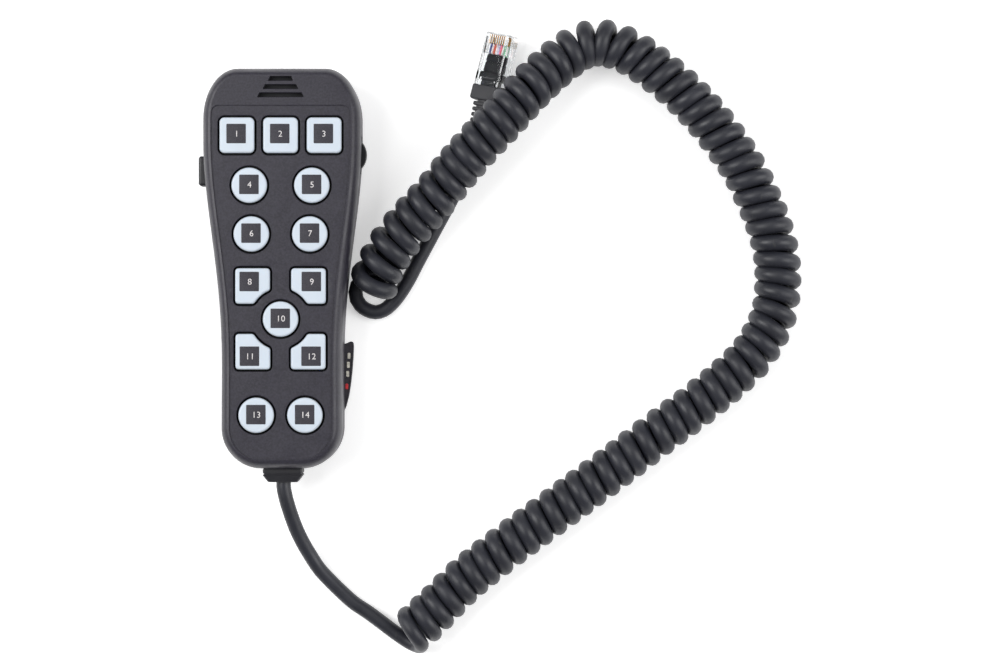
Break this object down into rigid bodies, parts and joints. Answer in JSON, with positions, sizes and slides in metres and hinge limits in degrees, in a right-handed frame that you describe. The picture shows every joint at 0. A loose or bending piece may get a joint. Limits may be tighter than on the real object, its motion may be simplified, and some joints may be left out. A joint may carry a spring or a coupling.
{
  "type": "hand controller microphone",
  "caption": "Palm-held black microphone with a lit rubber keypad, side talk button, side gain wheel, long curly cord and clear eight-way modular plug.",
  "frame": {"origin": "middle of the flat back, under the middle of the handset; the cord, its gland and its plug are left out of that middle", "axes": "+Z out of the front face, +Y to the top of the handset where the microphone slots are, +X to the side of the gain wheel"},
  "size_m": [0.2389, 0.2509, 0.0294],
  "materials": {
    "case": "fine spark-eroded texture, satin sheen on the edges",
    "button": "satin",
    "wheel": "finely knurled rim, satin",
    "badge": "semi-gloss label plate",
    "key": "satin silicone with a printed dark square",
    "mat": "satin silicone",
    "seal": "matt",
    "gland": "matt, moulded",
    "cord": "smooth satin jacket",
    "boot": "matt, ribbed",
    "clear": "clear moulded polycarbonate",
    "gold": "gold flash",
    "wires": "coloured insulation",
    "jacket": "pressed cord jacket",
    "board": "solder mask",
    "component": "moulded",
    "led": "clear lens",
    "steel": "zinc plated",
    "brass": "turned",
    "capsule": "drawn can",
    "mesh": "fine acoustic cloth"
  },
  "bodies": {
    "handset": {"front_case": "case", "rear_case": "case", "case_seal": "seal", "case_screws": "steel", "hanger_insert": "brass", "side_badge": "badge", "keypad_mat": "mat", "key_domes": "steel", "circuit_board": "board", "board_screws": "steel", "controller_chip": "component", "backlight_leds": "led", "board_socket": "component", "mic_capsule": "capsule", "mic_boot": "seal", "mic_mesh": "mesh", "mic_leads": "gold", "talk_switch": "component", "gain_pot": "component", "cable_gland": "gland", "cord_clamp": "steel", "clamp_screws": "steel", "cord_inner_end": "cord", "inner_wires": "wires", "cord_lead": "cord", "cord_coil": "cord", "cord_tail": "cord", "plug_boot": "boot", "plug_body": "clear", "plug_contacts": "gold", "plug_wires": "wires", "plug_jacket": "jacket"},
    "talk_button": {"talk_button": "button", "talk_plunger": "component"},
    "gain_wheel": {"gain_wheel": "wheel", "gain_shaft": "brass", "wheel_screw": "steel"},
    "plug_latch": {"plug_latch": "clear"},
    "key_1": {"key_1": "key"},
    "key_2": {"key_2": "key"},
    "key_3": {"key_3": "key"},
    "key_4": {"key_4": "key"},
    "key_5": {"key_5": "key"},
    "key_6": {"key_6": "key"},
    "key_7": {"key_7": "key"},
    "key_8": {"key_8": "key"},
    "key_9": {"key_9": "key"},
    "key_10": {"key_10": "key"},
    "key_11": {"key_11": "key"},
    "key_12": {"key_12": "key"},
    "key_13": {"key_13": "key"},
    "key_14": {"key_14": "key"}
  },
  "joints": [
    {"name": "talk_press", "type": "slide", "parent": "handset", "child": "talk_button", "axis": [1, 0, 0], "range_m": [0, 0.0012], "stiffness_N_per_m": 900},
    {"name": "gain_turn", "type": "hinge", "parent": "handset", "child": "gain_wheel", "pos_m": [0.0249, 0.0452, 0.0106], "axis": [0, 0, 1], "range_deg": [-135, 135]},
    {"name": "latch_press", "type": "hinge", "parent": "handset", "child": "plug_latch", "pos_m": [0.08848, 0.09108, 0.00352], "axis": [0.8044, -0.2006, 0.5592], "range_deg": [-5, 0], "stiffness_Nm_per_rad": 0.02},
    {"name": "key_1_press", "type": "slide", "parent": "handset", "child": "key_1", "axis": [0, 0, -1], "range_m": [0, 0.0012], "stiffness_N_per_m": 400},
    {"name": "key_2_press", "type": "slide", "parent": "handset", "child": "key_2", "axis": [0, 0, -1], "range_m": [0, 0.0012], "stiffness_N_per_m": 400},
    {"name": "key_3_press", "type": "slide", "parent": "handset", "child": "key_3", "axis": [0, 0, -1], "range_m": [0, 0.0012], "stiffness_N_per_m": 400},
    {"name": "key_4_press", "type": "slide", "parent": "handset", "child": "key_4", "axis": [0, 0, -1], "range_m": [0, 0.0012], "stiffness_N_per_m": 400},
    {"name": "key_5_press", "type": "slide", "parent": "handset", "child": "key_5", "axis": [0, 0, -1], "range_m": [0, 0.0012], "stiffness_N_per_m": 400},
    {"name": "key_6_press", "type": "slide", "parent": "handset", "child": "key_6", "axis": [0, 0, -1], "range_m": [0, 0.0012], "stiffness_N_per_m": 400},
    {"name": "key_7_press", "type": "slide", "parent": "handset", "child": "key_7", "axis": [0, 0, -1], "range_m": [0, 0.0012], "stiffness_N_per_m": 400},
    {"name": "key_8_press", "type": "slide", "parent": "handset", "child": "key_8", "axis": [0, 0, -1], "range_m": [0, 0.0012], "stiffness_N_per_m": 400},
    {"name": "key_9_press", "type": "slide", "parent": "handset", "child": "key_9", "axis": [0, 0, -1], "range_m": [0, 0.0012], "stiffness_N_per_m": 400},
    {"name": "key_10_press", "type": "slide", "parent": "handset", "child": "key_10", "axis": [0, 0, -1], "range_m": [0, 0.0012], "stiffness_N_per_m": 400},
    {"name": "key_11_press", "type": "slide", "parent": "handset", "child": "key_11", "axis": [0, 0, -1], "range_m": [0, 0.0012], "stiffness_N_per_m": 400},
    {"name": "key_12_press", "type": "slide", "parent": "handset", "child": "key_12", "axis": [0, 0, -1], "range_m": [0, 0.0012], "stiffness_N_per_m": 400},
    {"name": "key_13_press", "type": "slide", "parent": "handset", "child": "key_13", "axis": [0, 0, -1], "range_m": [0, 0.0012], "stiffness_N_per_m": 400},
    {"name": "key_14_press", "type": "slide", "parent": "handset", "child": "key_14", "axis": [0, 0, -1], "range_m": [0, 0.0012], "stiffness_N_per_m": 400}
  ]
}
